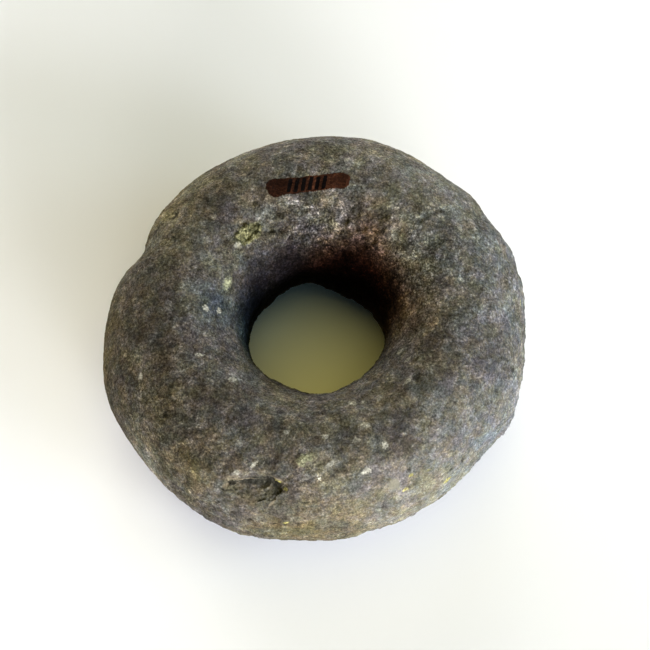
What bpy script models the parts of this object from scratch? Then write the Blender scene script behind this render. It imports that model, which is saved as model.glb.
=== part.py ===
"""A stone spindle whorl: a thick ring of coarse dark stone, pecked to shape, lying on its flat face.

The stone starts as a torus. Every vertex of it has an azimuth round the ring (0 at +X, 90 at +Y) and a
section angle (0 at the rim, 90 at the top, 180 in the hole, 270 underneath). The surface rule places it
by those two angles, from the sizes below: an oval rim, a round hole with its waist half way down, and
the hollows and swells left by pecking, wear and old breaks. Two deep chips are cut out afterwards.
Units are metres and degrees, +Z is up, and the origin is under the middle of the stone.
"""

import math
from typing import NamedTuple

import bpy
from mathutils import Matrix, Vector

MM = 0.001

# The ring as a whole
RIM_DIAMETER = 79.9 * MM
RIM_OVAL = 1.0 * MM  # how far the rim stands out at the ends of its long axis, and in at the others
RIM_OVAL_AZIMUTH = 46.0
RIM_OFF_CENTRE = 0.9 * MM  # the hole was pecked a little off the middle of the rim
RIM_OFF_AZIMUTH = 87.0
HOLE_DIAMETER = 25.3 * MM  # at the waist
HEIGHT = 31.0 * MM
FOOT_WIDTH = 10.0 * MM  # the worn flat band that the stone lies on

# How finely the stone is faceted
RING_STEPS = 104
SECTION_STEPS = 40
CHIP_SUBDIVISIONS = 3
SHARP_EDGE = 40.0

STONE_COLOUR = (0.115, 0.108, 0.092, 1.0)
STONE_ROUGHNESS = 0.9


class Hollow(NamedTuple):
    """A smooth place pressed into the stone, or swelling out of it where depth is negative."""

    azimuth: float
    section: float
    before: float  # its reach along the ring, towards smaller azimuths
    after: float  # its reach towards larger azimuths
    across: float  # its reach round the section
    depth: float
    edge: float = 2.0  # 2 is a round bowl, near 1 is creased along its deepest line


RIM_HOLLOWS = {
    "break in the rim": Hollow(156.8, 0, 5.6 * MM, 2.8 * MM, 10 * MM, 4.3 * MM, 1.2),
    "worn front left": Hollow(224, -15, 10 * MM, 10 * MM, 12 * MM, 0.2 * MM),
    "low front hollow": Hollow(268, -22, 7 * MM, 3.5 * MM, 10 * MM, 0.4 * MM),
    "worn front": Hollow(284, -21, 3 * MM, 5.5 * MM, 12 * MM, 0.4 * MM),
    "right hollow": Hollow(4, 0, 5 * MM, 5 * MM, 12 * MM, 0.4 * MM),
    "back right hollow": Hollow(52, 18, 4.5 * MM, 7.5 * MM, 12 * MM, 0.5 * MM),
    "right shoulder": Hollow(36, 12, 3 * MM, 2 * MM, 12 * MM, 0.6 * MM),
    "right corner": Hollow(335, -10, 4 * MM, 7 * MM, 12 * MM, -1.2 * MM),
    "left swell": Hollow(196, -6, 10 * MM, 6 * MM, 12 * MM, -0.9 * MM),
    "low front swell": Hollow(248, -20, 6 * MM, 4 * MM, 10 * MM, -0.5 * MM),
    "back swell": Hollow(75, 21, 5.5 * MM, 8 * MM, 12 * MM, -0.4 * MM),
}

HOLE_HOLLOWS = {
    "deep back wall": Hollow(96, 200, 2.5 * MM, 5.5 * MM, 8 * MM, 1.4 * MM),
    "left wall": Hollow(208, 175, 4.5 * MM, 4 * MM, 8 * MM, 0.2 * MM),
    "back right lobe": Hollow(63, 200, 4.5 * MM, 4 * MM, 8 * MM, -0.7 * MM),
    "front left lobe": Hollow(248, 170, 4.5 * MM, 6.5 * MM, 8 * MM, -0.9 * MM),
    "front right lobe": Hollow(302, 165, 6.5 * MM, 5.5 * MM, 8 * MM, -0.8 * MM),
}

TOP_HOLLOWS = {
    "front right groove": Hollow(277, 66, 3 * MM, 4 * MM, 3.5 * MM, 0.7 * MM),
    "front right flake": Hollow(292, 36, 10 * MM, 8 * MM, 5 * MM, 0.6 * MM),
    "front edge ledge": Hollow(276, 24, 6 * MM, 7 * MM, 4 * MM, 0.5 * MM),
    "rise beside the groove": Hollow(270, 70, 3 * MM, 2.5 * MM, 4 * MM, -0.3 * MM),
    "low back left": Hollow(130, 100, 9 * MM, 12 * MM, 9 * MM, 0.5 * MM),
    "high right": Hollow(20, 95, 14 * MM, 10 * MM, 8 * MM, -0.2 * MM),
}

UNDERSIDE_HOLLOWS = {
    "right flake": Hollow(38, 318, 9 * MM, 6 * MM, 6 * MM, 0.9 * MM, 1.4),
    "back left wear": Hollow(140, 300, 12 * MM, 12 * MM, 7 * MM, 0.6 * MM),
    "front left flake": Hollow(232, 310, 7 * MM, 9 * MM, 6 * MM, 0.8 * MM, 1.5),
    "hole edge": Hollow(320, 232, 7 * MM, 9 * MM, 6 * MM, 0.7 * MM),
    "far hole edge": Hollow(110, 240, 8 * MM, 6 * MM, 5 * MM, -0.5 * MM),
}


class Chip(NamedTuple):
    """A sharp-edged place cut out of the surface, shaped like half an egg."""

    azimuth: float
    section: float
    length: float  # along the ring
    width: float  # round the section
    depth: float
    lean: float = 0.0  # undercuts the upper edge by this many degrees
    turn: float = 0.0  # turns the long axis about the outward direction


CHIPS = {
    "front_gouge": Chip(253.5, 52.0, 9.6 * MM, 3.4 * MM, 2.3 * MM, lean=24, turn=11),
    "crusted_pit": Chip(128.2, 117.0, 5.6 * MM, 3.6 * MM, 1.1 * MM),
}


def section_size(azimuth):
    """Half the width of the stone's section there, its half height, and its centre's radius."""
    long_axis = math.radians(2 * (azimuth - RIM_OVAL_AZIMUTH))
    to_centre = math.radians(azimuth - RIM_OFF_AZIMUTH)
    rim = RIM_DIAMETER / 2 + RIM_OVAL * math.cos(long_axis) + RIM_OFF_CENTRE * math.cos(to_centre)
    hole = HOLE_DIAMETER / 2
    return (rim - hole) / 2, half_height(), (rim + hole) / 2


def half_height():
    """The section's half height, which leaves the stone HEIGHT tall once its foot is worn flat."""
    half_width = (RIM_DIAMETER - HOLE_DIAMETER) / 4
    half_foot = FOOT_WIDTH / 2
    foot_share = math.sqrt(1 - (half_foot / half_width) ** 2)
    return HEIGHT / (1 + foot_share)


def turned_from(angle, other):
    """The angle from other to angle, in radians between -pi and pi."""
    return (math.radians(angle - other) + math.pi) % (2 * math.pi) - math.pi


def depth_at(azimuth, section, radius):
    """How far all the hollows and swells together press the surface in there."""
    half_width, half_tall, _ = section_size(azimuth)
    depth = 0.0
    for hollows in (RIM_HOLLOWS, HOLE_HOLLOWS, TOP_HOLLOWS, UNDERSIDE_HOLLOWS):
        for hollow in hollows.values():
            along = turned_from(azimuth, hollow.azimuth) * radius
            reach = hollow.before if along < 0 else hollow.after
            across = turned_from(section, hollow.section) * (half_width + half_tall) / 2
            fall = abs(along / reach) ** hollow.edge + (across / hollow.across) ** 2
            depth += hollow.depth * math.exp(-fall)
    return depth


def surface(azimuth, section):
    """The point of the stone's surface at these angles, and the direction straight out of it."""
    half_width, half_tall, centre = section_size(azimuth)
    turn = math.radians(section)
    radius = centre + half_width * math.cos(turn)
    height = HEIGHT - half_tall + half_tall * math.sin(turn)
    outward = Vector((half_tall * math.cos(turn), 0, half_width * math.sin(turn))).normalized()
    place = Vector((radius, 0, height)) - outward * depth_at(azimuth, section, radius)
    place.z = max(place.z, 0.0)
    round_ring = Matrix.Rotation(math.radians(azimuth), 3, "Z")
    return round_ring @ place, round_ring @ outward


def move_to_collection(obj, collection):
    for other in obj.users_collection:
        other.objects.unlink(obj)
    collection.objects.link(obj)


def stone_material():
    material = bpy.data.materials.new("coarse_dark_stone")
    material.use_nodes = True
    shader = material.node_tree.nodes["Principled BSDF"]
    shader.inputs["Base Color"].default_value = STONE_COLOUR
    shader.inputs["Roughness"].default_value = STONE_ROUGHNESS
    shader.inputs["Metallic"].default_value = 0.0
    return material


def shape_stone(collection):
    """The whole stone before its chips are cut, with the hole's axis on the Z axis."""
    half_width, _, centre = section_size(RIM_OVAL_AZIMUTH)
    bpy.ops.mesh.primitive_torus_add(
        major_radius=centre,
        minor_radius=half_width,
        major_segments=RING_STEPS,
        minor_segments=SECTION_STEPS,
    )
    stone = bpy.context.active_object
    stone.name = stone.data.name = "stone_whorl"
    move_to_collection(stone, collection)
    for vertex in stone.data.vertices:
        x, y, z = vertex.co
        azimuth = math.degrees(math.atan2(y, x))
        section = math.degrees(math.atan2(z, math.hypot(x, y) - centre))
        vertex.co, _ = surface(azimuth, section)
    stone.data.materials.append(stone_material())
    return stone


def chip_cutter(name, chip, collection):
    """An egg whose middle is on the surface, long along the ring and as deep as the chip."""
    bpy.ops.mesh.primitive_ico_sphere_add(subdivisions=CHIP_SUBDIVISIONS, radius=1.0)
    cutter = bpy.context.active_object
    cutter.name = cutter.data.name = name
    move_to_collection(cutter, collection)
    cutter.hide_render = True
    cutter.display_type = "WIRE"
    place, outward = surface(chip.azimuth, chip.section)
    along = Vector((0, 0, 1)).cross(outward).normalized()
    across = outward.cross(along)
    axes = Matrix((along, across, outward)).transposed().to_4x4()
    leaning = Matrix.Rotation(math.radians(chip.lean), 4, "X")
    turned = Matrix.Rotation(math.radians(chip.turn), 4, "Z")
    size = Matrix.Diagonal((chip.length / 2, chip.width / 2, chip.depth, 1))
    cutter.data.transform(Matrix.Translation(place) @ axes @ turned @ leaning @ size)
    return cutter


def cut_chips(stone, cutters):
    for name, chip in CHIPS.items():
        cut = stone.modifiers.new(name, "BOOLEAN")
        cut.operation = "DIFFERENCE"
        cut.solver = "EXACT"
        cut.object = chip_cutter(name + "_cutter", chip, cutters)


def stand_over_origin(stone, cutters):
    """Moves the stone and its cutters so that the middle of its box is over the origin."""
    corners = [vertex.co for vertex in stone.data.vertices]
    low = Vector(map(min, zip(*corners)))
    high = Vector(map(max, zip(*corners)))
    middle = (low + high) / 2
    for obj in (stone, *cutters.objects):
        obj.data.transform(Matrix.Translation((-middle.x, -middle.y, -low.z)))


def main():
    for obj in list(bpy.data.objects):
        bpy.data.objects.remove(obj)
    whorl = bpy.data.collections.new("stone spindle whorl")
    cutters = bpy.data.collections.new("cutters")
    bpy.context.scene.collection.children.link(whorl)
    bpy.context.scene.collection.children.link(cutters)
    stone = shape_stone(whorl)
    cut_chips(stone, cutters)
    stand_over_origin(stone, cutters)
    stone.data.shade_smooth()
    stone.data.set_sharp_from_angle(angle=math.radians(SHARP_EDGE))


main()
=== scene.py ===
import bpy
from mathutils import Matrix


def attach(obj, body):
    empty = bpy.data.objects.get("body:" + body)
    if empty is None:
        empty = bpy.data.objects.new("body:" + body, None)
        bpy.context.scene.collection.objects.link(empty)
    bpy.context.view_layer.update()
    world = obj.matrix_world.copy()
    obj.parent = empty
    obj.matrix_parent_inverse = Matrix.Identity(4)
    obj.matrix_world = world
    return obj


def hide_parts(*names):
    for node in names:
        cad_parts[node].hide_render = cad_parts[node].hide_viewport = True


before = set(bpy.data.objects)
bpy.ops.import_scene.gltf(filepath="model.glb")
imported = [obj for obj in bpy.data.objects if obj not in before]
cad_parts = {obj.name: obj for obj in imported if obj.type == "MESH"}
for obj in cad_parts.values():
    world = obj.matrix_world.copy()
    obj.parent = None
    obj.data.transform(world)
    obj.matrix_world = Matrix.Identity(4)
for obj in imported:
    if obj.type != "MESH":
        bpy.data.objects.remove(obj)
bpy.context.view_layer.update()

import math
from typing import NamedTuple

import bpy
import numpy as np
from mathutils import Matrix, Vector, noise


# The stone
# One natural stone, a thick ring of coarse dark rock. It was pecked round with a hammerstone and holed
# from both faces, and it weathered in the ground, where earth and an olive crust settled on it.
MM = 0.001
RING_RADIUS = 26.3 * MM  # of the line through the middle of the stone's section
SECTION_RADIUS = 14.2 * MM
MIDDLE_HEIGHT = 15.6 * MM

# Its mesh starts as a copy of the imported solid.
MERGED_WITHIN = 0.01 * MM

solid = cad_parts["stone_whorl"]
bpy.ops.object.select_all(action="DESELECT")
stone = bpy.data.objects.new("weathered_stone", solid.data.copy())
bpy.context.scene.collection.objects.link(stone)
bpy.context.view_layer.objects.active = stone
stone.select_set(True)
stone.data.materials.clear()
bpy.ops.mesh.customdata_custom_splitnormals_clear()
bpy.ops.object.mode_set(mode="EDIT")
bpy.ops.mesh.select_all(action="SELECT")
bpy.ops.mesh.remove_doubles(threshold=MERGED_WITHIN)
bpy.ops.object.mode_set(mode="OBJECT")


def work_stone(kind, **settings):
    """Gives the stone a modifier with these settings and applies it."""
    bpy.context.view_layer.objects.active = stone
    modifier = stone.modifiers.new(kind.lower(), kind)
    for setting, value in settings.items():
        setattr(modifier, setting, value)
    bpy.ops.object.modifier_apply(modifier=modifier.name)


def points_and_normals():
    """The stone's vertices and the directions straight out of it there."""
    count = len(stone.data.vertices)
    points = np.empty(count * 3, np.float32)
    normals = np.empty(count * 3, np.float32)
    stone.data.vertices.foreach_get("co", points)
    stone.data.vertex_normals.foreach_get("vector", normals)
    return points.reshape(-1, 3).astype(float), normals.reshape(-1, 3).astype(float)


def move_points(points):
    stone.data.vertices.foreach_set("co", points.astype(np.float32).ravel())
    stone.data.update()


def ramp(values, low, high):
    """0 up to low and 1 from high, in a straight line between."""
    return np.clip((values - low) / (high - low), 0, 1)


RUBBED_BACK = (16, 28)  # where the rubbed places begin and where they are full, in millimetres
RUBBED_LEFT = (24, 34)
RUBBED_RIM = (29, 34)
RUBBED_OFF = 0.6  # the share of the roughness that is gone there


def worn_share(points):
    """How rough each point is: the rim is rubbed smoother at the back and left."""
    east, north, _ = points.T / MM
    radius = np.hypot(east, north)
    rubbed = np.maximum(ramp(north, *RUBBED_BACK), ramp(-east, *RUBBED_LEFT)) * ramp(radius, *RUBBED_RIM)
    return 1 - RUBBED_OFF * rubbed


KNOBS_EAST = 4  # the middle of the knobs, in millimetres, as is all that follows but the taper
KNOBS_TAPER = 0.4
KNOBS_NORTH = (7, 11)  # where they begin and where they are full
KNOBS_RADIUS = (23, 18)
KNOBS_HEIGHT = (14, 20)


def knobbly_share(points):
    """1 at the back of the hole, where hard grains stand out of the stone, and 0 elsewhere."""
    east, north, height = points.T / MM
    radius = np.hypot(east, north)
    back = ramp(north - np.abs(east - KNOBS_EAST) * KNOBS_TAPER, *KNOBS_NORTH)
    return back * ramp(radius, *KNOBS_RADIUS) * ramp(height, *KNOBS_HEIGHT)


def roughen(depth, size, octaves, share=worn_share):
    """Moves the surface in and out by soft noise whose features are this large."""
    texture = bpy.data.textures.new("rock", "CLOUDS")
    texture.noise_scale = size
    texture.noise_depth = octaves
    before, _ = points_and_normals()
    work_stone("DISPLACE", strength=depth, mid_level=0.5, texture_coords="LOCAL", texture=texture)
    after, _ = points_and_normals()
    move_points(before + (after - before) * share(before)[:, None])


class Mark(NamedTuple):
    """A place on the top, in millimetres and degrees as seen from above."""

    x: float
    y: float
    length: float
    width: float
    turn: float = 0.0
    depth: float = 0.0  # how far it is pressed in, or stands out where this is negative


FACES_UP = 0.1  # a surface seen from above points up at least this much
PLACE_WITHIN = 1.5 * MM  # a mark's height is the mean of the surface this near its middle
FACING_WITHIN = 2.5 * MM  # and it faces the way that the surface does this near on average
MARK_SKIN = 6.0  # marks reach this many millimetres into and out of the surface


def axes_at(mark):
    """The middle of the mark on the stone, and its axes: along it, across it, and out of the stone."""
    points, normals = points_and_normals()
    apart = np.hypot(points[:, 0] - mark.x * MM, points[:, 1] - mark.y * MM)
    seen = normals[:, 2] > FACES_UP
    place = Vector(points[seen & (apart < PLACE_WITHIN)].mean(axis=0))
    out = Vector(normals[seen & (apart < FACING_WITHIN)].mean(axis=0)).normalized()
    turn = math.radians(mark.turn)
    heading = Vector((math.cos(turn), math.sin(turn), 0))
    along = (heading - out * heading.dot(out)).normalized()
    return place, along, out.cross(along), out


def nearness(points, mark):
    """1 in the middle of the mark, a half at its edge, and nearly nothing at twice its size."""
    place, *axes = axes_at(mark)
    along, across, out = ((points - np.array(place)) @ np.array(axis) for axis in axes)
    reach = (along / mark.length) ** 2 + (across / mark.width) ** 2 + (out / MARK_SKIN) ** 2
    return 0.5 ** (4 * reach / MM ** 2)


REFINED_FROM = 0.2  # the nearness from which faces are split


def refine_at(mark, cuts):
    """Splits the faces round the mark, so that its small shapes have vertices to stand on."""
    points, _ = points_and_normals()
    chosen = nearness(points, mark) > REFINED_FROM
    bpy.ops.object.mode_set(mode="EDIT")
    bpy.ops.mesh.select_all(action="DESELECT")
    bpy.ops.object.mode_set(mode="OBJECT")
    for polygon in stone.data.polygons:
        polygon.select = all(chosen[vertex] for vertex in polygon.vertices)
    bpy.ops.object.mode_set(mode="EDIT")
    bpy.ops.mesh.select_mode(type="FACE")
    bpy.ops.mesh.subdivide(number_cuts=cuts)
    bpy.ops.object.mode_set(mode="OBJECT")


class Spot(NamedTuple):
    """A broad place on the stone, found by two angles, and how much is done there."""

    azimuth: float  # 0 at the right, 90 at the back
    section: float  # 0 at the rim, 90 on the top, 180 in the hole, 270 underneath
    reach: float  # millimetres
    amount: float  # millimetres, coats or a factor, whichever the list of spots says
    edge: float = 2.0  # 2 fades out softly, and more has a clearer edge


def reached(spot, points):
    """How far each point belongs to the spot, 1 in its middle."""
    round_ring, round_section = math.radians(spot.azimuth), math.radians(spot.section)
    radius = RING_RADIUS + SECTION_RADIUS * math.cos(round_section)
    middle = np.array((
        radius * math.cos(round_ring),
        radius * math.sin(round_ring),
        MIDDLE_HEIGHT + SECTION_RADIUS * math.sin(round_section),
    ))
    apart = np.linalg.norm(points - middle, axis=1) / (spot.reach * MM)
    return np.exp(-apart ** spot.edge)[:, None]


# The facets go first: an even voxel skin, smoothed, and let out again by what smoothing took off.
EVEN_GRID = 0.6 * MM
FACET_SMOOTHING = 26
SMOOTHING_LOSS = 0.14 * MM
FINE_GRID = 0.50 * MM
EDGE_SMOOTHING = 1
work_stone("REMESH", mode="VOXEL", voxel_size=EVEN_GRID, use_smooth_shade=True)
work_stone("SMOOTH", factor=0.5, iterations=FACET_SMOOTHING)
work_stone("DISPLACE", strength=SMOOTHING_LOSS, mid_level=0.0)
work_stone("REMESH", mode="VOXEL", voxel_size=FINE_GRID, use_smooth_shade=True)
work_stone("SMOOTH", factor=0.5, iterations=EDGE_SMOOTHING)

# The hole is worn wider in three places, by this many millimetres.
HOLE_WEAR = (Spot(356, 186, 7, 0.65), Spot(275, 166, 9, 0.40), Spot(188, 180, 7, 0.25))
for spot in HOLE_WEAR:
    points, normals = points_and_normals()
    move_points(points - normals * reached(spot, points) * spot.amount * MM)

# Broad unevenness comes first, then the dimples that the pecking left, and then the knobs in the hole.
roughen(depth=0.6 * MM, size=7.0 * MM, octaves=1)
roughen(depth=0.8 * MM, size=2.8 * MM, octaves=2)
roughen(depth=1.6 * MM, size=1.5 * MM, octaves=1, share=knobbly_share)

# Small breaks, ridges and pits.
BREAKS = {
    "groove at the front": Mark(4.6, -31.0, 3.8, 0.9, 46, 0.28),
    "ridge behind the groove": Mark(3.7, -30.2, 5.8, 1.3, 41, -0.35),
    "boss at the left of them": Mark(-1.9, -30.5, 3.0, 1.8, 30, -0.3),
    "thin ridge below them": Mark(1.9, -35.1, 4.0, 0.5, -50, -0.3),
    "pit left of the gouge": Mark(-14.9, -33.0, 1.8, 1.1, 10, 0.4),
    "groove below the pit": Mark(-16.2, -34.9, 3.4, 0.6, 0, 0.45),
    "swelling above the groove": Mark(-16.2, -34.0, 3.4, 1.2, 0, -0.2),
    "ridge below the gouge": Mark(-7.5, -37.3, 3.6, 0.9, 50, -0.3),
    "pit beside that ridge": Mark(-5.5, -38.4, 1.8, 0.8, 40, 0.5),
    "pit near the front edge": Mark(-7.2, -39.4, 1.2, 0.8, 20, 0.5),
    "pit at the left of it": Mark(-11.8, -38.7, 1.0, 1.2, 0, 0.5),
    "pit at the front left": Mark(-15.1, -37.4, 1.2, 1.6, -30, 0.5),
    "scar at the front edge": Mark(-3.0, -39.8, 3.2, 0.8, 4, 0.5),
    "scarp near the front edge": Mark(6.9, -37.2, 3.4, 0.8, 14, 0.35),
    "notch at the front right": Mark(12.5, -36.1, 0.8, 2.0, -10, 0.5),
    "step round the boss": Mark(17.0, -33.0, 4.4, 0.6, 12, 0.3),
    "boss at the front right": Mark(17.8, -34.7, 3.6, 2.6, 20, -0.25),
    "left pit": Mark(-27.2, -21.0, 1.4, 1.6, 20, 0.5),
    "right pit": Mark(18.9, -14.6, 2.2, 1.5, 20, 0.45),
    "ridge beside the right pit": Mark(17.1, -15.5, 2.6, 0.8, 45, -0.3),
    "pit at the right edge": Mark(36.7, -10.3, 2.0, 1.3, -25, 0.5),
    "pit at the lower right edge": Mark(27.2, -27.2, 1.0, 1.5, 0, 0.4),
    "slit behind the hole": Mark(-2.7, 16.7, 2.2, 0.6, 50, 0.5),
    "low pit by the crust": Mark(-17.1, 13.1, 2.0, 1.6, 30, 0.5),
    "hollow at the back left": Mark(-26.3, 19.1, 2.4, 1.3, 50, 0.4),
    "grain at the back": Mark(6.2, 29.2, 1.3, 1.2, 0, -0.3),
    "crusted hollow": Mark(-12.4, 14.9, 5.2, 3.4, 38, 0.5),
}
for break_mark in BREAKS.values():
    points, _ = points_and_normals()
    out = np.array(axes_at(break_mark)[3])
    share = nearness(points, break_mark)
    move_points(points - share[:, None] * out * break_mark.depth * MM)

# The front gouge is a flake scar: a ramp going in under its upper lip, with a smaller one at its left.
# Each is cut by an egg with a flat belly and a high back, leaning so that its upper end is the deepest.
GOUGE_CUTS = (  # each with how deep its belly is and how many degrees it leans
    (Mark(-10.0, -34.3, 9.6, 4.6, 2), 0.1, -13.0),
    (Mark(-15.0, -33.5, 2.6, 2.0, 8), 0.15, -16.0),
)
SUNK = 0.05 * MM
EGG_SUBDIVISIONS = 4
EGG_BACK = 15.0  # how much higher its back is than its belly is deep
EGG_LUMPS = ((0.18, 2.2), (0.08, 6))  # how high they are and how often they come, for half an egg
for cut_mark, cut_depth, lean in GOUGE_CUTS:
    place, *axes = axes_at(cut_mark)
    bpy.ops.mesh.primitive_ico_sphere_add(subdivisions=EGG_SUBDIVISIONS, radius=1.0)
    egg = bpy.context.active_object
    for vertex in egg.data.vertices:
        vertex.co *= 1 + sum(high * noise.noise(vertex.co * often) for high, often in EGG_LUMPS)
        vertex.co.z *= EGG_BACK if vertex.co.z > 0 else 1.0
    size = Matrix.Diagonal((cut_mark.length / 2, cut_mark.width / 2, cut_depth, 1 / MM)) * MM
    leaning = Matrix.Rotation(math.radians(lean), 4, "X")
    turned = Matrix(axes).transposed().to_4x4()
    egg.data.transform(Matrix.Translation(place - axes[2] * SUNK) @ turned @ leaning @ size)
    egg.data.update()
    work_stone("BOOLEAN", operation="DIFFERENCE", solver="MANIFOLD", object=egg)
    bpy.data.objects.remove(egg)

# The crust in the pit at the back left of the hole is a heap of crumbs.
CRUST = Mark(-12.4, 14.9, 5.8, 3.3, 38)
GOUGE = Mark(-10.0, -34.0, 12.0, 5.0, -4)
CRUMB_SIZE = 1.3 * MM
CRUMB_HEIGHT = 1.1 * MM
CRUMB_FOOT = 0.75  # how far from its middle a crumb meets the stone, as a share of its size
HEAP_FROM = 0.3  # the nearness from which crumbs stand on the stone
HEAP_STEEPNESS = 4  # how soon after that they are full
refine_at(CRUST, cuts=2)
refine_at(GOUGE, cuts=1)
points, normals = points_and_normals()
heap = nearness(points, CRUST)
for index in np.flatnonzero(heap > HEAP_FROM):
    from_middle = noise.voronoi(Vector(points[index]) / CRUMB_SIZE)[0][0]
    full = min(1.0, (heap[index] - HEAP_FROM) * HEAP_STEEPNESS)
    points[index] += normals[index] * full * (CRUMB_FOOT - from_middle) * CRUMB_HEIGHT
move_points(points)

# The finest grain goes over all of it.
roughen(depth=0.45 * MM, size=1.0 * MM, octaves=1)

# The foot is worn flat where the stone lies.
FOOT_LEVEL = -0.15 * MM
SHARP_FROM = 60.0  # edges that turn more than this many degrees stay sharp
points, _ = points_and_normals()
points[:, 2] = np.maximum(points[:, 2], FOOT_LEVEL)
move_points(points)
bpy.ops.object.shade_smooth_by_angle(angle=math.radians(SHARP_FROM))


# What lies on the stone, and some painted light and shade, is kept as point attributes, which the shader
# reads.
# Each tint is what one thin coat multiplies the rock's red, green and blue by. A stain is so many coats.
# Grey dirt also darkens the hole's back walls and the top of its far flare: there it is painted shade.
GREY_DIRT_AND_SHADE = (0.70, 0.69, 0.73)
# Red earth is also painted shade on the hole's far right wall and on the right flare.
RED_EARTH_AND_SHADE = (0.66, 0.54, 0.50)
# This blue grey is painted cool shade on the hole's left wall and flare.
PAINTED_COOL_SHADE = (0.68, 0.77, 0.86)
# Pale dust is also painted light: round the rim, and on the knobs and the back left wall in the hole.
PALE_DUST_AND_PAINTED_LIGHT = (1.27, 1.28, 1.25)
# This cool tint is painted cool light on the right side and its edge.
PAINTED_COOL_LIGHT = (1.03, 1.10, 1.20)
# This ochre is dust and painted warm light on the left side and rim.
OCHRE_DUST_AND_PAINTED_WARM_LIGHT = (1.27, 1.18, 0.90)
OLIVE = (1.04, 0.96, 0.68)
RUST = (1.20, 0.95, 0.72)
# The stains deep in the hole are painted shade; the pale ones on the rim, the cool ones and the ochre ones
# are partly painted light.
STAINS = {
    "painted shade in the back of the hole": (GREY_DIRT_AND_SHADE, Spot(90, 180, 9, 5.0, 4)),
    "painted shade at the right of it": (RED_EARTH_AND_SHADE, Spot(58, 172, 9, 5.0, 4)),
    "earth and painted shade on the right flare": (RED_EARTH_AND_SHADE, Spot(25, 155, 8, 3.0, 3)),
    "slightly darker back flare": (GREY_DIRT_AND_SHADE, Spot(80, 140, 6, 0.5)),
    "painted shade on the back left wall": (GREY_DIRT_AND_SHADE, Spot(135, 172, 9, 6.0, 4)),
    "painted cool shade on the left wall": (PAINTED_COOL_SHADE, Spot(178, 172, 7, 4.0, 4)),
    "blue-grey left flare": (PAINTED_COOL_SHADE, Spot(178, 122, 4, 2.0)),
    "crest behind the crust": (GREY_DIRT_AND_SHADE, Spot(130, 92, 4, 2.0)),
    "dark front right crest": (GREY_DIRT_AND_SHADE, Spot(300, 73, 3, 2.5)),
    "earth by the knobs": (RED_EARTH_AND_SHADE, Spot(56, 120, 4, 1.5)),
    "shadowed back flare": (GREY_DIRT_AND_SHADE, Spot(102, 143, 4, 3.0)),
    "painted light on the knobs in the hole": (PALE_DUST_AND_PAINTED_LIGHT, Spot(86, 157, 4, 8.0)),
    "painted light on the back left wall": (PALE_DUST_AND_PAINTED_LIGHT, Spot(115, 168, 4, 8.0)),
    "front left side": (OCHRE_DUST_AND_PAINTED_WARM_LIGHT, Spot(215, 62, 5, 1.0)),
    "low left edge": (PALE_DUST_AND_PAINTED_LIGHT, Spot(217, 22, 5, 2.5)),
    "back right shoulder": (PALE_DUST_AND_PAINTED_LIGHT, Spot(48, 42, 6, 2.0)),
    "right edge": (PALE_DUST_AND_PAINTED_LIGHT, Spot(345, 15, 6, 1.0)),
    "flare right of the hole": (RUST, Spot(355, 122, 6, 1.0)),
    "back crest": (GREY_DIRT_AND_SHADE, Spot(95, 72, 7, 0.5)),
    "grey back left flare": (PAINTED_COOL_SHADE, Spot(150, 122, 5, 0.5)),
    "brown left side": (GREY_DIRT_AND_SHADE, Spot(192, 65, 15, 1.2)),
    "brown left rim": (OCHRE_DUST_AND_PAINTED_WARM_LIGHT, Spot(185, 5, 12, 1.5)),
    "brown front left crest": (GREY_DIRT_AND_SHADE, Spot(230, 85, 8, 1.0)),
    "pale place at the left": (PALE_DUST_AND_PAINTED_LIGHT, Spot(199, 59, 3.5, 2.0)),
    "pale place left of the hole": (PALE_DUST_AND_PAINTED_LIGHT, Spot(224, 112, 2.5, 2.0)),
    "olive back left edge": (OLIVE, Spot(143, 28, 12, 1.0)),
    "pale back edge": (PALE_DUST_AND_PAINTED_LIGHT, Spot(108, 30, 12, 1.5)),
    "pale lower left edge": (PALE_DUST_AND_PAINTED_LIGHT, Spot(222, -8, 6, 2.5)),
    "olive low left shoulder": (OLIVE, Spot(232, 45, 5, 1.0)),
    "olive front edge": (OLIVE, Spot(268, 5, 10, 1.0)),
    "dark front crest": (GREY_DIRT_AND_SHADE, Spot(262, 60, 6, 0.5)),
    "pale front right edge": (PALE_DUST_AND_PAINTED_LIGHT, Spot(300, 5, 12, 1.5)),
    "cool right edge": (PAINTED_COOL_LIGHT, Spot(326, 5, 11, 1.5)),
    "cool right side": (PAINTED_COOL_LIGHT, Spot(10, 60, 22, 1.0)),
    "dark right crest": (GREY_DIRT_AND_SHADE, Spot(342, 66, 7, 1.3)),
    "pale upper right flare": (PALE_DUST_AND_PAINTED_LIGHT, Spot(45, 115, 6, 2.5)),
    "pale back right crest": (PALE_DUST_AND_PAINTED_LIGHT, Spot(62, 60, 8, 1.0)),
}

# How much stronger or weaker the speckle is in some places.
CONTRASTS = {
    "smoother front right": Spot(312, 30, 17, 0.66),
    "smoother right": Spot(352, 60, 13, 0.84),
    "smoother front left edge": Spot(262, 20, 8, 0.85),
    "crisp place before the lacquer": Spot(92, 112, 9, 1.30),
    "crisp back of the hole": Spot(80, 145, 7, 1.5),
    "crisp right flare": Spot(26, 128, 10, 1.8),
    "crisp side right of the hole": Spot(345, 105, 9, 1.25),
    "crisp left side": Spot(208, 65, 8, 1.2),
    "dull place below the gouge": Spot(250, 40, 8, 0.75),
    "dull front": Spot(284, 34, 9, 0.80),
    "dull back right": Spot(48, 60, 10, 0.82),
}

points, _ = points_and_normals()
tint = np.ones_like(points)
for one_coat, stain in STAINS.values():
    tint *= np.array(one_coat) ** (stain.amount * reached(stain, points))
contrast = np.ones((len(points), 1))
for patch in CONTRASTS.values():
    contrast *= patch.amount ** reached(patch, points)


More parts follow.
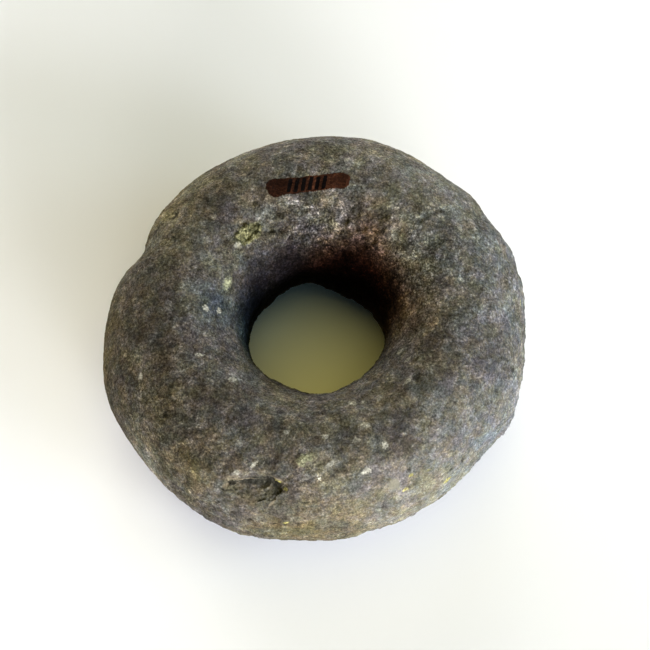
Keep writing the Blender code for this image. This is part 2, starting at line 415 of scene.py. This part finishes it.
def keep(name, kind, values):
    """Stores one value or colour for each of the stone's points."""
    layer = stone.data.attributes.new(name, kind, "POINT")
    field = "color" if kind == "FLOAT_COLOR" else "value"
    layer.data.foreach_set(field, values.astype(np.float32).ravel())


keep("tint", "FLOAT_COLOR", np.hstack((tint, np.ones((len(tint), 1)))))
keep("contrast", "FLOAT", contrast)

# Small marks that differ in colour only, or lie on the breaks above. Some are painted shade and
# highlights.
PALE_MARKS = (
    Mark(6.9, -19.2, 1.7, 1.5), Mark(8.8, -19.2, 1.2, 1.0), Mark(9.1, -24.0, 2.0, 1.2, 10),
    Mark(1.9, -26.1, 1.5, 1.0, 30), Mark(-5.1, -25.3, 1.2, 1.1), Mark(7.5, -27.0, 1.6, 1.0, 10),
    Mark(12.6, -27.6, 1.0, 1.6), Mark(9.3, -31.8, 1.8, 1.2, 30), Mark(0.7, -33.4, 0.9, 0.7),
    Mark(15.8, -8.5, 1.4, 1.2), Mark(17.2, -10.6, 1.3, 0.8, 20), Mark(17.1, -15.5, 2.4, 0.7, 45),
    Mark(-21.1, -10.5, 2.2, 0.6, 5), Mark(-31.8, -13.6, 1.0, 1.1), Mark(-14.5, 12.4, 1.6, 1.1, 50),
    Mark(-15.0, -14.7, 1.6, 1.2, 20), Mark(27.1, 15.4, 2.2, 0.7, 100), Mark(10.4, 19.3, 0.9, 0.8),
    Mark(15.5, 19.0, 0.9, 0.8), Mark(14.9, 13.9, 1.0, 1.4, 30), Mark(6.2, 29.2, 1.2, 1.1),
    Mark(2.8, -31.0, 2.4, 0.8, 41), Mark(-14.1, -31.3, 1.2, 1.1), Mark(-10.8, -30.6, 1.8, 0.7, 45),
    Mark(-20.2, -0.5, 1.4, 1.2), Mark(-17.7, -0.1, 1.0, 1.6),
)
# A painted highlight along the gouge's upper lip and on the rises beside and below it.
TAN_HIGHLIGHT_MARKS = (
    Mark(-12.8, -32.6, 7.2, 0.3, 0), Mark(-6.2, -32.9, 3.0, 0.5, -30), Mark(-16.6, -33.9, 1.6, 1.0, 40),
    Mark(-7.6, -37.1, 3.0, 0.6, 50),
)
GREENISH_MARKS = (
    Mark(-1.9, -30.5, 3.2, 2.0, 30), Mark(-16.2, 5.4, 3.0, 1.8, 75), Mark(16.4, 13.7, 1.6, 0.8, 70),
)
YELLOW_MARKS = (
    Mark(17.4, -31.5, 1.0, 0.8), Mark(16.5, -33.6, 1.4, 0.8, 40), Mark(20.5, -30.2, 0.9, 0.7),
    Mark(24.6, -30.6, 2.2, 0.9, 35), Mark(-5.2, -39.2, 1.2, 0.8), Mark(-6.2, -33.4, 1.8, 0.7, -35),
    Mark(-4.9, -34.9, 0.9, 0.8), Mark(38.6, 3.8, 1.6, 0.8, 90),
)
# Dark earth, and painted shade in the pits, the notch, the slit, round the crust and under the gouge's
# lip.
DARK_MARKS = (
    Mark(-27.2, -21.0, 1.3, 1.6, 20), Mark(18.9, -14.6, 2.2, 1.6, 20), Mark(36.7, -10.3, 2.0, 1.3, -25),
    Mark(25.6, -19.2, 0.9, 0.8), Mark(14.9, -26.3, 1.6, 1.6), Mark(27.2, -27.2, 1.0, 1.5),
    Mark(24.7, -28.8, 1.3, 0.7, 20), Mark(17.0, -30.8, 0.9, 0.7), Mark(12.5, -36.1, 0.7, 1.8, -10),
    Mark(-17.1, 13.1, 1.6, 1.2, 30), Mark(1.4, -17.5, 2.6, 1.3, 10), Mark(-4.9, 34.4, 2.4, 0.8),
    Mark(-12.8, 33.7, 1.8, 0.8, 20), Mark(-20.2, 21.4, 1.6, 1.4), Mark(-26.3, 19.1, 2.4, 1.2, 50),
    Mark(23.9, 18.6, 0.9, 0.8), Mark(-2.7, 16.7, 1.9, 0.5, 50), Mark(-20.0, 7.7, 2.2, 0.4),
    Mark(-14.9, -33.0, 1.6, 0.9, 10), Mark(-16.2, -34.9, 3.2, 0.4), Mark(-5.5, -38.4, 1.7, 0.7, 40),
    Mark(-7.2, -39.4, 1.1, 0.8), Mark(-11.8, -38.7, 0.9, 1.2), Mark(-15.1, -37.4, 1.0, 1.5, -30),
    Mark(-3.0, -39.8, 3.0, 0.6, 4), Mark(-9.0, -33.0, 1.4, 1.0, 60), Mark(-9.8, 15.6, 2.4, 0.9, 80),
    Mark(-13.9, 15.4, 2.4, 0.8, 60), Mark(-11.3, 14.2, 2.0, 0.6, 30),
)
# A painted shadow inside the gouge and the small cut at its left, under their upper lips.
GOUGE_SHADOW_MARKS = (
    Mark(-10.2, -33.4, 6.8, 1.8, 3), Mark(-7.3, -33.7, 3.6, 1.9, -30), Mark(-14.9, -33.1, 1.8, 0.9, 8),
)
SMOOTH_MARKS = (Mark(14.5, -33.3, 2.6, 3.2, 10),)
MARKS = {
    "pale": PALE_MARKS,
    "tan": TAN_HIGHLIGHT_MARKS,
    "greenish": GREENISH_MARKS,
    "yellow": YELLOW_MARKS,
    "dark": DARK_MARKS,
    "crust": (CRUST,),
    "gouge_shadow": GOUGE_SHADOW_MARKS,
    "smooth": SMOOTH_MARKS,
}
for name, marks in MARKS.items():
    keep(name, "FLOAT", np.max([nearness(points, mark) for mark in marks], axis=0))


class Wire:
    """One output in the stone's shader. Sums written on wires add the Math nodes that work them out."""

    tree = None

    def __init__(self, socket):
        self.socket = socket

    @classmethod
    def node(cls, kind, settings=None, values=None, output=0):
        """Adds a node, gives it its settings and then its sockets' values or links."""
        made = cls.tree.nodes.new("ShaderNode" + kind)
        for name, value in (settings or {}).items():
            setattr(made, name, value)
        for name, value in (values or {}).items():
            if isinstance(value, Wire):
                cls.tree.links.new(value.socket, made.inputs[name])
            else:
                made.inputs[name].default_value = value
        return cls(made.outputs[output])

    def output(self, name):
        """Another output of the same node."""
        return Wire(self.socket.node.outputs[name])

    @classmethod
    def maths(cls, operation, *values):
        """One Math node."""
        return cls.node("Math", {"operation": operation}, dict(enumerate(values)))

    def __add__(self, other):
        return self.maths("ADD", self, other)

    def __radd__(self, other):
        return self.maths("ADD", other, self)

    def __sub__(self, other):
        return self.maths("SUBTRACT", self, other)

    def __rsub__(self, other):
        return self.maths("SUBTRACT", other, self)

    def __mul__(self, other):
        return self.maths("MULTIPLY", self, other)

    def __rmul__(self, other):
        return self.maths("MULTIPLY", other, self)

    def __truediv__(self, other):
        return self.maths("DIVIDE", self, other)

    def __rtruediv__(self, other):
        return self.maths("DIVIDE", other, self)

    def __pow__(self, other):
        return self.maths("POWER", self, other)

    def __rpow__(self, other):
        return self.maths("POWER", other, self)

    def __abs__(self):
        return self.maths("ABSOLUTE", self)


def step_up(value, low, high):
    """0 below low and 1 above high, with a soft step between."""
    limits = {"Value": value, "From Min": low, "From Max": high}
    return Wire.node("MapRange", {"interpolation_type": "SMOOTHSTEP"}, limits)


MIX_SOCKETS = {"factor": 0, "first colour": 6, "second colour": 7}
MIXED_COLOUR = 2


def blend(first, second, amount):
    """A colour that turns from first to second."""
    first, second = (value if isinstance(value, Wire) else (*value, 1.0) for value in (first, second))
    values = dict(zip(MIX_SOCKETS.values(), (amount, first, second)))
    return Wire.node("Mix", {"data_type": "RGBA"}, values, output=MIXED_COLOUR)


def multiply(first, second):
    """A colour seen through another."""
    return Wire.node("VectorMath", {"operation": "MULTIPLY"}, {0: first, 1: second})


def shade(colour, amount):
    """A colour made lighter or darker all over."""
    return Wire.node("VectorMath", {"operation": "SCALE"}, {0: colour, "Scale": amount})


def rock_noise(size, detail, roughness, seed):
    """Soft noise with features this large, 0 to 1 and mostly near a half."""
    sockets = {"Vector": position, "W": seed, "Scale": 1 / size, "Detail": detail, "Roughness": roughness}
    return Wire.node("TexNoise", {"noise_dimensions": "4D"}, sockets)


FLECK_REACH = (0.5, 0.25)  # a fleck ends and is full this far from its middle, as shares of its size
FLECK_SORTING = 0.05  # how gradually flecks come in as their share grows


def flecks(size, lean, stretch, share):
    """Separate elongated flecks: 1 on a fleck, in this share of the places that could hold one."""
    turn = {"Vector": position, "Rotation": lean, "Scale": (stretch, 1.0, 1.0)}
    turned = Wire.node("Mapping", {"vector_type": "POINT"}, turn)
    cells = Wire.node("TexVoronoi", values={"Vector": turned, "Scale": 1 / size})
    chance = Wire.node("SeparateColor", values={0: cells.output("Color")})
    picked = step_up(chance, 1 - share, 1 + FLECK_SORTING - share)
    return step_up(cells.output("Distance"), *FLECK_REACH) * picked


def kept(name, output="Fac"):
    """One of the attributes kept on the stone's points."""
    return Wire.node("Attribute", {"attribute_name": name}, output=output)


finish = bpy.data.materials.new("weathered rock")
finish.use_nodes = True
Wire.tree = finish.node_tree
shader = Wire.tree.nodes["Principled BSDF"]
position = Wire.node("TexCoord", output="Object")
along_axes = Wire.node("SeparateXYZ", values={"Vector": position})
east, north, height = (along_axes.output(axis) for axis in "XYZ")

ROCK = (0.083, 0.0765, 0.063)
PURPLE = (1.05, 0.985, 1.02)
GREEN = (0.95, 1.015, 0.98)
OCHRE = (1.06, 1.0, 0.84)
BLUE = (0.955, 1.0, 1.16)
PALE_MINERAL = (0.30, 0.29, 0.24)
TAN_LIP_HIGHLIGHT = (0.24, 0.20, 0.14)
GREENISH = (0.20, 0.205, 0.125)
YELLOW_LICHEN = (0.24, 0.215, 0.065)
CRUST_LIGHT = (0.140, 0.132, 0.068)
CRUST_DARK = (0.022, 0.023, 0.008)
DARK_EARTH_AND_SHADE = (0.018, 0.016, 0.012)
PAINTED_GOUGE_SHADOW = (0.027, 0.027, 0.022)
SMOOTH_PLACE = (0.150, 0.140, 0.105)

# The rock itself: its lightness goes up and down by powers of e, and its hue wanders a little.
TONE_STRENGTH = 6.1
GRAIN_STRENGTH = 3.1
FLECK_STRENGTH = 0.4
SPECK_STRENGTH = 0.45
tone = rock_noise(size=4.5 * MM, detail=5, roughness=1.0, seed=1.7) - 0.5
grain = rock_noise(size=0.4 * MM, detail=1, roughness=0.8, seed=5.2) - 0.5
long_flecks = flecks(size=1.0 * MM, lean=(0.3, 0.2, 0.7), stretch=0.5, share=0.22)
cross_flecks = flecks(size=0.9 * MM, lean=(0.2, 0.9, 2.2), stretch=0.5, share=0.2)
dark_specks = flecks(size=1.1 * MM, lean=(0.5, 0.1, 1.4), stretch=0.8, share=0.16)
pale_flecks = long_flecks + cross_flecks
mottling = tone * TONE_STRENGTH + grain * GRAIN_STRENGTH
speckle = pale_flecks * FLECK_STRENGTH - dark_specks * SPECK_STRENGTH
lightness = (mottling + speckle) * kept("contrast")
green_share = step_up(rock_noise(size=3 * MM, detail=3, roughness=0.7, seed=2.9), low=0.35, high=0.65)
blue_share = step_up(rock_noise(size=5 * MM, detail=4, roughness=0.9, seed=3.6), low=0.38, high=0.62)
wandering = multiply(blend(PURPLE, GREEN, green_share), blend(OCHRE, BLUE, blue_share))
ground = multiply(wandering, multiply(ROCK, kept("tint", "Color")))
colour = shade(ground, Wire.maths("EXPONENT", lightness))

# What lies on the marks, and the shade and highlights painted on some, covers the rock in turn, with
# ragged edges.
RAGGEDNESS = 1.6
MARK_TONE_STRENGTH = 6.0
MARK_GRAIN_STRENGTH = 2.5
ragged = (rock_noise(size=0.8 * MM, detail=2, roughness=0.8, seed=6.3) - 0.5) * RAGGEDNESS
grainy = Wire.maths("EXPONENT", tone * MARK_TONE_STRENGTH + grain * MARK_GRAIN_STRENGTH)
light_crumb = step_up(rock_noise(size=1.1 * MM, detail=2, roughness=0.8, seed=4.1), low=0.40, high=0.60)
crumbs = blend(CRUST_DARK, CRUST_LIGHT, light_crumb)


def lay_on(name, laid, fray, edge, cover):
    """Covers these marks with a colour, as much as cover says, from one end of their edge to the other."""
    return blend(colour, laid, step_up(kept(name) + ragged * fray, *edge) * cover)


colour = lay_on("smooth", SMOOTH_PLACE, fray=0.3, edge=(0.45, 0.75), cover=0.75)
# Painted shadow in the gouge under its upper lip.
colour = lay_on("gouge_shadow", shade(PAINTED_GOUGE_SHADOW, grainy), fray=0.5, edge=(0.3, 0.7), cover=0.85)
# Dark earth, and painted shade in the pits, the notch, round the crust and under the gouge's lip.
colour = lay_on("dark", shade(DARK_EARTH_AND_SHADE, grainy), fray=1.0, edge=(0.35, 0.85), cover=0.75)
colour = lay_on("greenish", shade(GREENISH, grainy), fray=1.0, edge=(0.35, 0.85), cover=0.7)
colour = lay_on("crust", shade(crumbs, grainy), fray=0.5, edge=(0.35, 0.6), cover=0.95)
colour = lay_on("yellow", shade(YELLOW_LICHEN, grainy), fray=1.0, edge=(0.35, 0.85), cover=0.7)
colour = lay_on("pale", shade(PALE_MINERAL, grainy), fray=1.0, edge=(0.35, 0.8), cover=0.7)
# Painted highlight along the gouge's upper lip and on the rises beside and below it.
colour = lay_on("tan", TAN_LIP_HIGHLIGHT, fray=0.5, edge=(0.4, 0.9), cover=0.6)

# A stripe of red-brown lacquer was brushed on behind the hole, with a row of slanting ink strokes.
LACQUER = (0.026, 0.0092, 0.0045)
INK = (0.001, 0.001, 0.001)
LACQUER_LEFT = (-7.2 * MM, 23.5 * MM)
LACQUER_LENGTH = 12.3 * MM
LACQUER_TURN = math.radians(6.8)
LACQUER_HALF_WIDTH = 1.58 * MM
LACQUER_LEFT_SWELL = 0.40 * MM
LACQUER_RIGHT_SWELL = 0.20 * MM
SWELL_POWER = 6  # how near its end the stripe swells
LACQUER_EDGE = 0.12 * MM
LACQUER_WAVES = 1.1 * MM  # how far apart the waves of its edge are, and how high at most
LACQUER_ABOVE = (24 * MM, 25 * MM)
STROKES_START = 1.9 * MM
STROKE_PITCH = 1.32 * MM
STROKE_COUNT = 6
STROKE_SHARE = 0.66
STROKE_HALF_HEIGHT = 1.35 * MM
STROKE_SLANT = 0.3
STROKE_WAVES = 0.4  # how much of the stripe's waves the strokes have in their sides and their ends
STROKE_END_WAVES = 0.5
STROKE_EDGE = 0.08  # as a share of the pitch
STROKE_END_EDGE = 0.1 * MM
ROW_EDGE = 0.02
INK_COVER = 0.95

from_left, from_end = east - LACQUER_LEFT[0], north - LACQUER_LEFT[1]
stripe_along = from_left * math.cos(LACQUER_TURN) + from_end * math.sin(LACQUER_TURN)
stripe_across = from_end * math.cos(LACQUER_TURN) - from_left * math.sin(LACQUER_TURN)
along_share = Wire.node("Clamp", values={0: stripe_along / LACQUER_LENGTH})
beyond = stripe_along - along_share * LACQUER_LENGTH
from_stripe = (beyond * beyond + stripe_across * stripe_across) ** 0.5
left_swell = (1 - along_share) ** SWELL_POWER * LACQUER_LEFT_SWELL
right_swell = along_share ** SWELL_POWER * LACQUER_RIGHT_SWELL
half_width = LACQUER_HALF_WIDTH + left_swell + right_swell
wobble = (rock_noise(size=LACQUER_WAVES, detail=4, roughness=0.9, seed=7.7) - 0.5) * LACQUER_WAVES
on_top = step_up(height, *LACQUER_ABOVE)
lacquered = step_up(half_width + wobble - from_stripe, 0.0, LACQUER_EDGE) * on_top
leaning_along = stripe_along - stripe_across * STROKE_SLANT - STROKES_START + wobble * STROKE_WAVES
stroke_number = leaning_along / STROKE_PITCH
from_stroke = abs(Wire.maths("FRACT", stroke_number) - 0.5)
on_stroke = step_up(from_stroke, STROKE_SHARE / 2, STROKE_SHARE / 2 - STROKE_EDGE)
from_middle_line = abs(stripe_across + wobble * STROKE_END_WAVES)
in_height = step_up(from_middle_line, STROKE_HALF_HEIGHT, STROKE_HALF_HEIGHT - STROKE_END_EDGE)
past_first = step_up(stroke_number, 0.0, ROW_EDGE)
before_last = step_up(stroke_number, STROKE_COUNT, STROKE_COUNT - ROW_EDGE)
worn_ink = step_up(rock_noise(size=0.6 * MM, detail=2, roughness=0.8, seed=9.2), low=0.25, high=0.38)
inked = on_stroke * in_height * past_first * before_last * worn_ink

# The rock's grain shows through the lacquer, which is thinner and lighter towards its right end.
LACQUER_TONE_STRENGTH = 3.0
LACQUER_LIGHTNESS = 0.62
LIGHTER_TO_THE_RIGHT = 0.9
lacquer_tone = Wire.maths("EXPONENT", (tone + grain) * LACQUER_TONE_STRENGTH)
lacquer_shade = lacquer_tone * (LACQUER_LIGHTNESS + along_share * LIGHTER_TO_THE_RIGHT)
colour = blend(colour, shade(LACQUER, lacquer_shade), lacquered)
colour = blend(colour, INK, inked * lacquered * INK_COVER)

# Grain finer than the mesh is left to the material.
FINE_RELIEF = 0.45 * MM
FLECK_RELIEF = 0.12
STONE_SHINE = 0.03
STONE_ROUGHNESS = 0.9
shader.inputs["Specular IOR Level"].default_value = STONE_SHINE
shader.inputs["Roughness"].default_value = STONE_ROUGHNESS
Wire.tree.links.new(colour.socket, shader.inputs["Base Color"])
fine_grain = rock_noise(size=0.7 * MM, detail=3, roughness=0.85, seed=8.4)
relief = (fine_grain + (pale_flecks - dark_specks) * FLECK_RELIEF) * kept("contrast")
bump = Wire.node("Bump", values={"Strength": 1.0, "Distance": FINE_RELIEF, "Height": relief})
Wire.tree.links.new(bump.socket, shader.inputs["Normal"])
stone.data.materials.clear()
stone.data.materials.append(finish)

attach(stone, "root")
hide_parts("stone_whorl")


# The floor
# A wide sheet of plain pale paper that the stone lies on. It is a hair below the worn foot, so that
# the two don't touch.
FLOOR_SIZE = 6.0
FLOOR_DROP = 0.2 * MM
FLOOR_COLOUR = (0.89, 0.90, 0.95, 1.0)
FLOOR_ROUGHNESS = 0.9

bpy.ops.object.select_all(action="DESELECT")
bpy.ops.mesh.primitive_plane_add(size=FLOOR_SIZE, location=(0, 0, -FLOOR_DROP))
floor = bpy.context.active_object
floor.name = "pale_floor"
paper = bpy.data.materials.new("pale paper")
paper.use_nodes = True
paper_shader = paper.node_tree.nodes["Principled BSDF"]
paper_shader.inputs["Base Color"].default_value = FLOOR_COLOUR
paper_shader.inputs["Roughness"].default_value = FLOOR_ROUGHNESS
floor.data.materials.append(paper)


# The light
# Six soft lights stand low round the stone, strongest at the front right. A yellowish light overhead
# and a faint cool one at the front right colour what shows of the floor through the hole.
LIGHT_SOFTNESS = 28.0  # degrees across, as seen from the stone
OVERHEAD_SOFTNESS = 56.0


def soft_light(name, azimuth, elevation, strength, colour, softness=LIGHT_SOFTNESS):
    """Distant soft light from this side: azimuth 0 is at the right, 90 behind and 270 in front."""
    light = bpy.data.lights.new(name, "SUN")
    light.angle = math.radians(softness)
    light.energy = strength
    light.color = colour
    holder = bpy.data.objects.new(name, light)
    turn, rise = math.radians(azimuth), math.radians(elevation)
    towards = Vector((math.cos(turn) * math.cos(rise), math.sin(turn) * math.cos(rise), math.sin(rise)))
    holder.rotation_euler = towards.to_track_quat("Z", "Y").to_euler()
    bpy.context.scene.collection.objects.link(holder)


soft_light("right light", azimuth=0, elevation=10, strength=2.0, colour=(0.80, 0.95, 1.10))
soft_light("front right light", azimuth=330, elevation=10, strength=4.1, colour=(0.95, 0.98, 1.06))
soft_light("front light", azimuth=300, elevation=10, strength=4.7, colour=(1.0, 0.99, 1.0))
soft_light("front left light", azimuth=270, elevation=10, strength=2.8, colour=(1.0, 0.96, 0.93))
soft_light("back light", azimuth=90, elevation=10, strength=2.5, colour=(0.97, 0.98, 1.0))
soft_light("back left light", azimuth=120, elevation=10, strength=3.0, colour=(1.0, 0.97, 0.95))
soft_light(
    "overhead light",
    azimuth=84,
    elevation=80,
    strength=0.72,
    colour=(1.0, 0.82, 0.16),
    softness=OVERHEAD_SOFTNESS,
)
soft_light(
    "cool light",
    azimuth=320,
    elevation=66,
    strength=0.24,
    colour=(0.42, 0.74, 0.78),
    softness=OVERHEAD_SOFTNESS,
)

bpy.context.scene.world = bpy.data.worlds.new("dark studio")
bpy.context.scene.world.color = (0.0, 0.0, 0.0)
bpy.context.scene.view_settings.view_transform = "Standard"


# The camera
# It looks down at the stone from the front, close enough for the near rim to look larger.
CAMERA_ELEVATION = 68.0
CAMERA_DISTANCE = 0.45
AIM = Vector((0, 0, 15.5 * MM))
SENSOR = 36.0
FRAME_SIDE = 650
AIM_COLUMN = 314.4  # where the aim falls in the frame
AIM_ROW = 333.8
PIXELS_PER_METRE = 5250

camera = bpy.data.objects.new("camera", bpy.data.cameras.new("camera"))
bpy.context.scene.collection.objects.link(camera)
bpy.context.scene.camera = camera
rise = math.radians(CAMERA_ELEVATION)
towards = Vector((0, -math.cos(rise), math.sin(rise)))
camera.location = AIM + towards * CAMERA_DISTANCE
camera.rotation_euler = towards.to_track_quat("Z", "Y").to_euler()
camera.data.sensor_width = SENSOR
camera.data.lens = SENSOR * CAMERA_DISTANCE * PIXELS_PER_METRE / FRAME_SIDE
camera.data.shift_x = (FRAME_SIDE / 2 - AIM_COLUMN) / FRAME_SIDE
camera.data.shift_y = (AIM_ROW - FRAME_SIDE / 2) / FRAME_SIDE
camera.data.clip_start = 0.01
